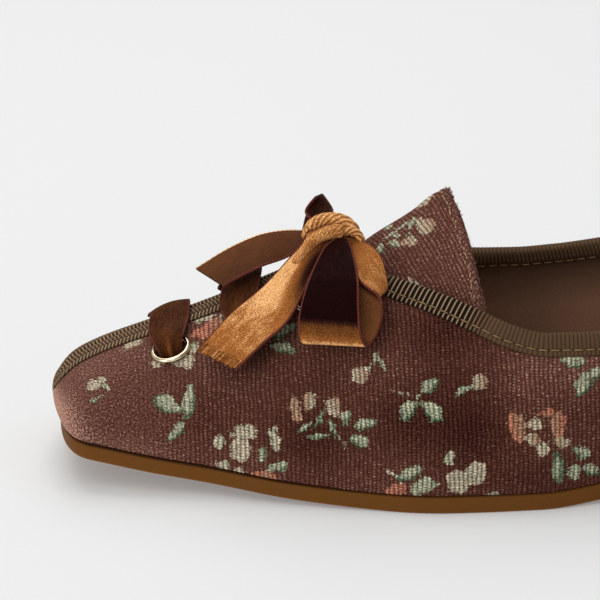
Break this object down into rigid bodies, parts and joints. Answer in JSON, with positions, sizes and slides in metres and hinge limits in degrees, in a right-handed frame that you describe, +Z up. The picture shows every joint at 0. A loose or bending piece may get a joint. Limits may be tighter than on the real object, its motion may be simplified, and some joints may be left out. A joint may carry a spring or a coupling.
{
  "type": "velvet flat shoe",
  "caption": "Soft square-toed velvet flat for the left foot, with a floral print, bound edges, metal eyelets, a ribbon lace tied in a bow, and a low rubber sole and heel.",
  "frame": {"origin": "centre of the shoe's footprint box on the floor, measured without the free ribbon of the bow", "axes": "+X from the toe to the heel, +Y to the inner (medial) side of the foot, +Z up"},
  "size_m": [0.2476, 0.0812, 0.065],
  "materials": {
    "velvet": "brown plum ribbed velvet, printed with small flowers",
    "grosgrain": "olive brown ribbed grosgrain tape",
    "rubber": "tan rubber, satin",
    "lining": "grey brown woven lining",
    "ribbon": "ribbon, dark brown velvet on one face and golden bronze on the other",
    "gold": "polished pale gold"
  },
  "bodies": {
    "root": {"outsole": "rubber", "heel": "rubber", "insole": "lining", "upper": "velvet", "tongue": "velvet", "binding": "grosgrain", "eyelet_lateral_1": "gold", "eyelet_lateral_2": "gold", "eyelet_lateral_3": "gold", "eyelet_medial_1": "gold", "eyelet_medial_2": "gold", "eyelet_medial_3": "gold", "lace_bar_1": "ribbon", "lace_bar_2": "ribbon", "lace_bar_3": "ribbon", "bow_knot": "ribbon", "bow_loop_lateral": "ribbon", "bow_tail_lateral": "ribbon", "bow_loop_medial": "ribbon", "bow_tail_medial": "ribbon"}
  },
  "joints": []
}
